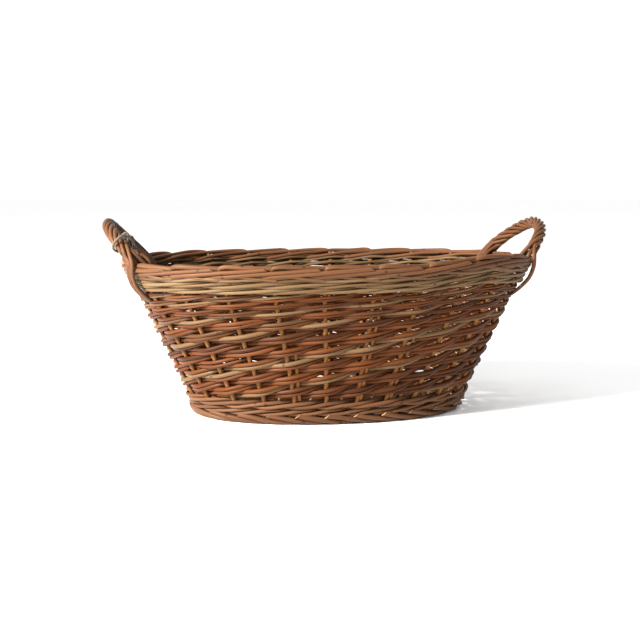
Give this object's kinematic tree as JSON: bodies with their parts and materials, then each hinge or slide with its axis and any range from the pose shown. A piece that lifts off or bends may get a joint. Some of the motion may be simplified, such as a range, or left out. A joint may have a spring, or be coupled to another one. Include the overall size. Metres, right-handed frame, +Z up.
{
  "type": "woven fruit basket",
  "caption": "Oval willow basket with flared woven sides, rope-like borders at foot and rim, and a roped handle at each end.",
  "frame": {"origin": "middle of the basket, on the surface its foot stands on", "axes": "+Z up, +X along the length towards the plain handle, so the handle with the twine is at -X and the front of the basket is -Y"},
  "size_m": [0.5188, 0.334, 0.2256],
  "materials": {
    "willow_side": "buff willow weavers, reddish tan, low sheen",
    "willow_stake": "golden tan willow stakes, low sheen",
    "willow_border": "pinkish tan willow border rods, low sheen",
    "willow_pale": "pale straw-coloured willow rods, low sheen",
    "willow_stick": "plain willow base sticks, dull",
    "willow_handle": "pinkish tan willow handle rods, low sheen",
    "jute_twine": "grey-green jute twine, matt",
    "tag_card": "blank white card, matt"
  },
  "bodies": {
    "root": {"foot_border": "willow_border", "base_stick_long_1": "willow_stick", "base_stick_long_2": "willow_stick", "base_stick_long_3": "willow_stick", "base_stick_cross_1": "willow_stick", "base_stick_cross_2": "willow_stick", "base_stick_cross_3": "willow_stick", "base_stick_cross_4": "willow_stick", "base_stick_cross_5": "willow_stick", "base_round_1": "willow_side", "base_round_2": "willow_side", "base_round_3": "willow_side", "stake_01": "willow_stake", "stake_02": "willow_stake", "stake_03": "willow_stake", "stake_04": "willow_stake", "stake_05": "willow_stake", "stake_06": "willow_stake", "stake_07": "willow_stake", "stake_08": "willow_stake", "stake_09": "willow_stake", "stake_10": "willow_stake", "stake_11": "willow_stake", "stake_12": "willow_stake", "stake_13": "willow_stake", "stake_14": "willow_stake", "stake_15": "willow_stake", "stake_16": "willow_stake", "stake_17": "willow_stake", "stake_18": "willow_stake", "stake_19": "willow_stake", "stake_20": "willow_stake", "stake_21": "willow_stake", "stake_22": "willow_stake", "stake_23": "willow_stake", "stake_24": "willow_stake", "upsett_wale": "willow_border", "side_course_1": "willow_side", "side_course_2": "willow_side", "side_course_3": "willow_side", "side_course_4": "willow_side", "side_course_5": "willow_side", "side_course_6": "willow_side", "top_wale": "willow_pale", "rim_border": "willow_border", "left_handle_bow": "willow_handle", "left_handle_strand_1": "willow_handle", "left_handle_strand_2": "willow_handle", "left_handle_strand_3": "willow_handle", "left_handle_strand_4": "willow_handle", "left_handle_strand_5": "willow_handle", "right_handle_bow": "willow_handle", "right_handle_strand_1": "willow_handle", "right_handle_strand_2": "willow_handle", "right_handle_strand_3": "willow_handle", "right_handle_strand_4": "willow_handle", "right_handle_strand_5": "willow_handle", "tag_twine": "jute_twine", "swing_tag": "tag_card"}
  },
  "joints": []
}
